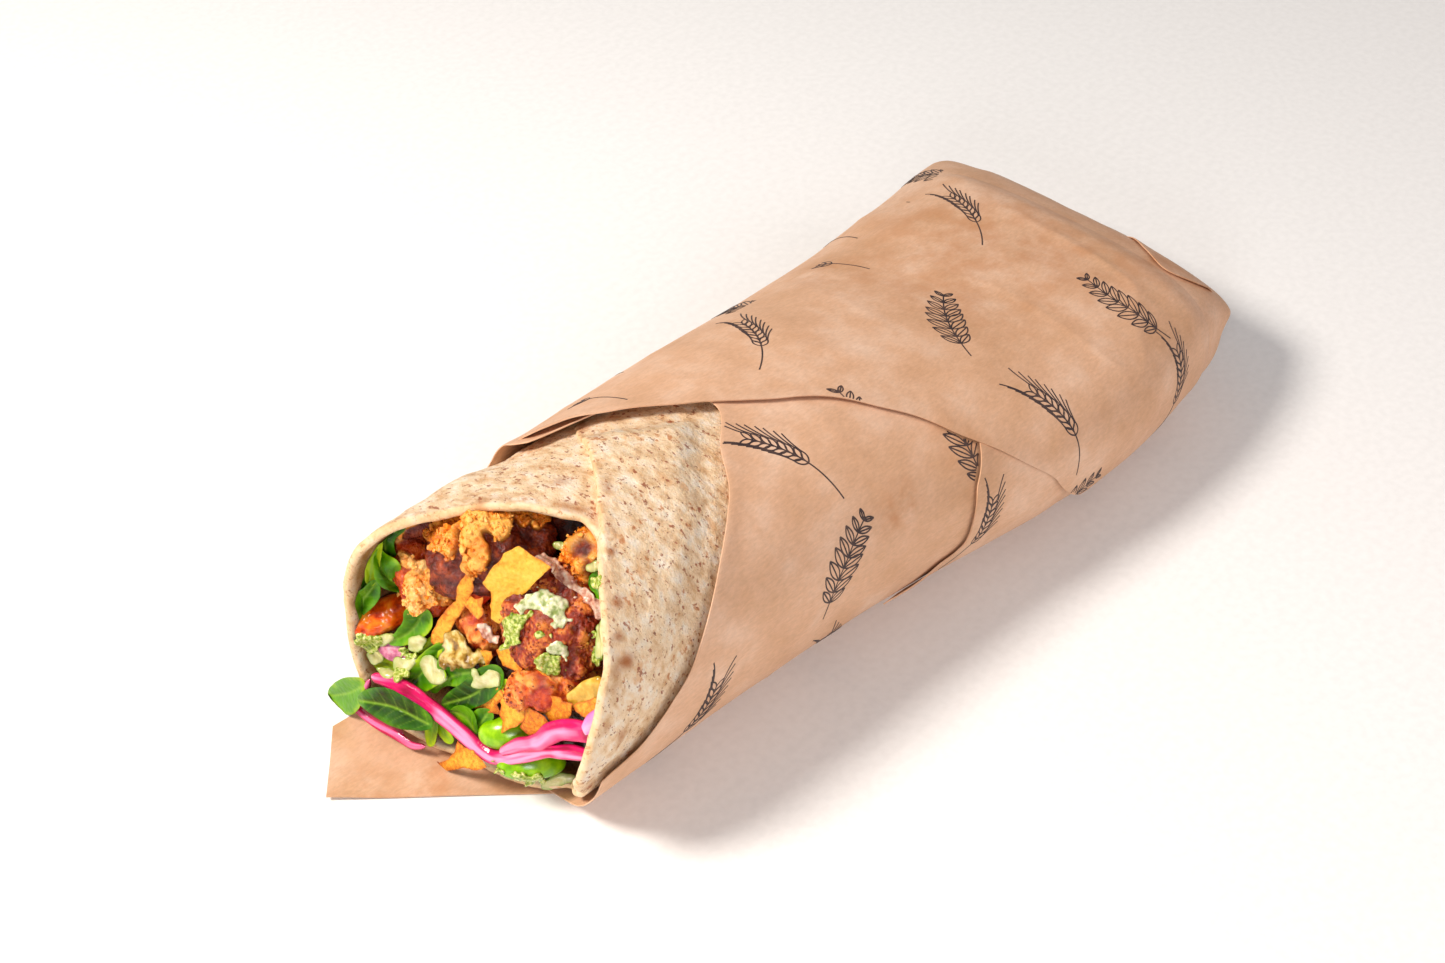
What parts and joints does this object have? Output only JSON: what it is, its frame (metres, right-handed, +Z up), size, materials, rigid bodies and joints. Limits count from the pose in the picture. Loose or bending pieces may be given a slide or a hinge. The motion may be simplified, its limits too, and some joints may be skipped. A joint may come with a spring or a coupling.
{
  "type": "chicken wrap",
  "caption": "Rolled flour tortilla filled with crumbed chicken, salad leaves and pickled cabbage, open at one end, wrapped in a sheet of printed kraft paper.",
  "frame": {"origin": "on the floor under the axis of the roll, at the middle of the open end", "axes": "+X along the wrap from the open end to the folded end, +Y to the far side, +Z up; the wrap lies on its side on the plane z = 0"},
  "size_m": [0.2412, 0.1001, 0.0636],
  "materials": {
    "edamame": "satin",
    "pale_cabbage": "glossy",
    "pickled_cabbage": "glossy",
    "crumbed_chicken": "matte",
    "glazed_chicken": "glossy",
    "corn_strip": "matte",
    "filling": "satin",
    "salad_leaf": "satin",
    "kraft_paper": "matte",
    "pickle": "satin",
    "red_onion": "satin",
    "roasted_pepper": "glossy",
    "tomato": "glossy",
    "flour_tortilla": "matte"
  },
  "bodies": {
    "root": {"bean_lower": "edamame", "bean_upper": "edamame", "cabbage_pale": "pale_cabbage", "cabbage_strip_long": "pickled_cabbage", "cabbage_strip_under": "pickled_cabbage", "chicken_back": "crumbed_chicken", "chicken_dark": "glazed_chicken", "chicken_left": "crumbed_chicken", "chicken_low": "glazed_chicken", "chicken_middle": "glazed_chicken", "chicken_right": "glazed_chicken", "chicken_upper": "crumbed_chicken", "corn_strip_large": "corn_strip", "corn_strip_left": "corn_strip", "corn_strip_lip": "corn_strip", "corn_strip_long": "corn_strip", "corn_strip_low_a": "corn_strip", "corn_strip_low_b": "corn_strip", "corn_strip_low_c": "corn_strip", "corn_strip_right": "corn_strip", "corn_strip_slanting": "corn_strip", "corn_strip_small": "corn_strip", "corn_strip_upright": "corn_strip", "filling_core": "filling", "leaf_centre": "salad_leaf", "leaf_far_right": "salad_leaf", "leaf_low": "salad_leaf", "leaf_middle": "salad_leaf", "leaf_outer": "salad_leaf", "leaf_right": "salad_leaf", "leaf_side": "salad_leaf", "leaf_upper": "salad_leaf", "paper_wrapper": "kraft_paper", "pickle_slice": "pickle", "red_onion": "red_onion", "roasted_pepper": "roasted_pepper", "tomato_lower": "tomato", "tomato_upper": "tomato", "tortilla": "flour_tortilla"}
  },
  "joints": []
}
